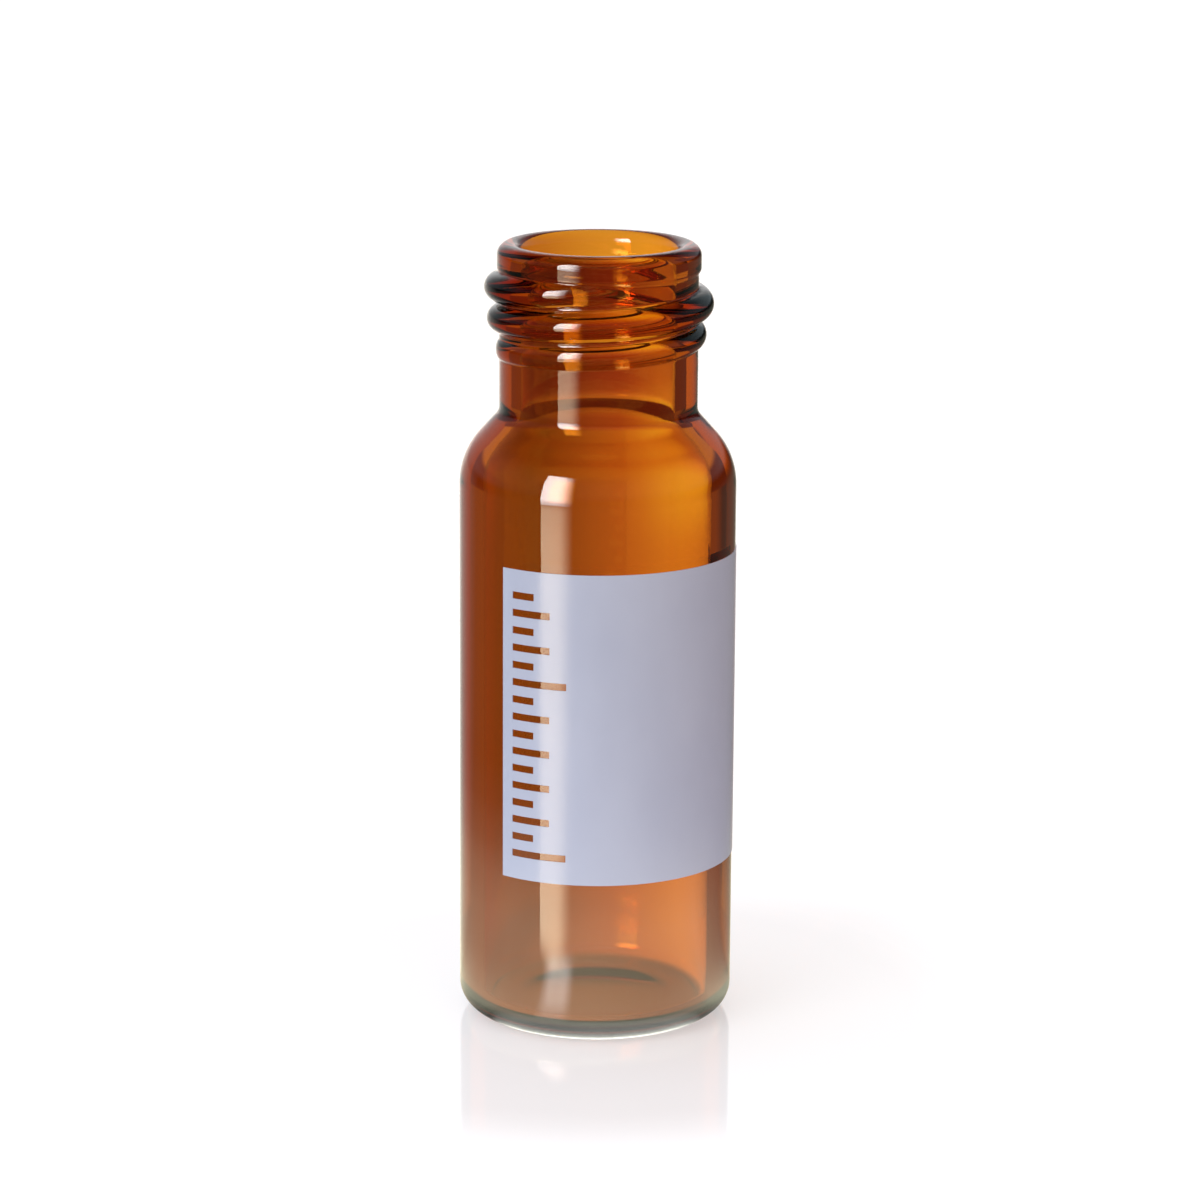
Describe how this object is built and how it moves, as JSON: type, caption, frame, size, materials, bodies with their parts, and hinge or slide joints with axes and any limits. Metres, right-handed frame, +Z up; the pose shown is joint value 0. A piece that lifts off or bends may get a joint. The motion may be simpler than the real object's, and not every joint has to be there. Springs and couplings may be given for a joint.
{
  "type": "glass sample vial",
  "caption": "Small straight-sided amber glass sample vial with a rounded shoulder, a short screw neck, an open mouth and a fired write-on patch.",
  "frame": {"origin": "centre of the resting face under the vial", "axes": "+Z up along the vial's axis to the mouth, -Y towards the front, with the patch's marked edge left of the front"},
  "size_m": [0.0114, 0.0114, 0.0324],
  "materials": {
    "amber_glass": "clear amber glass, fire-polished",
    "fired_enamel": "matte fired enamel"
  },
  "bodies": {
    "root": {"glass_vial": "amber_glass", "marking_patch": "fired_enamel"}
  },
  "joints": []
}
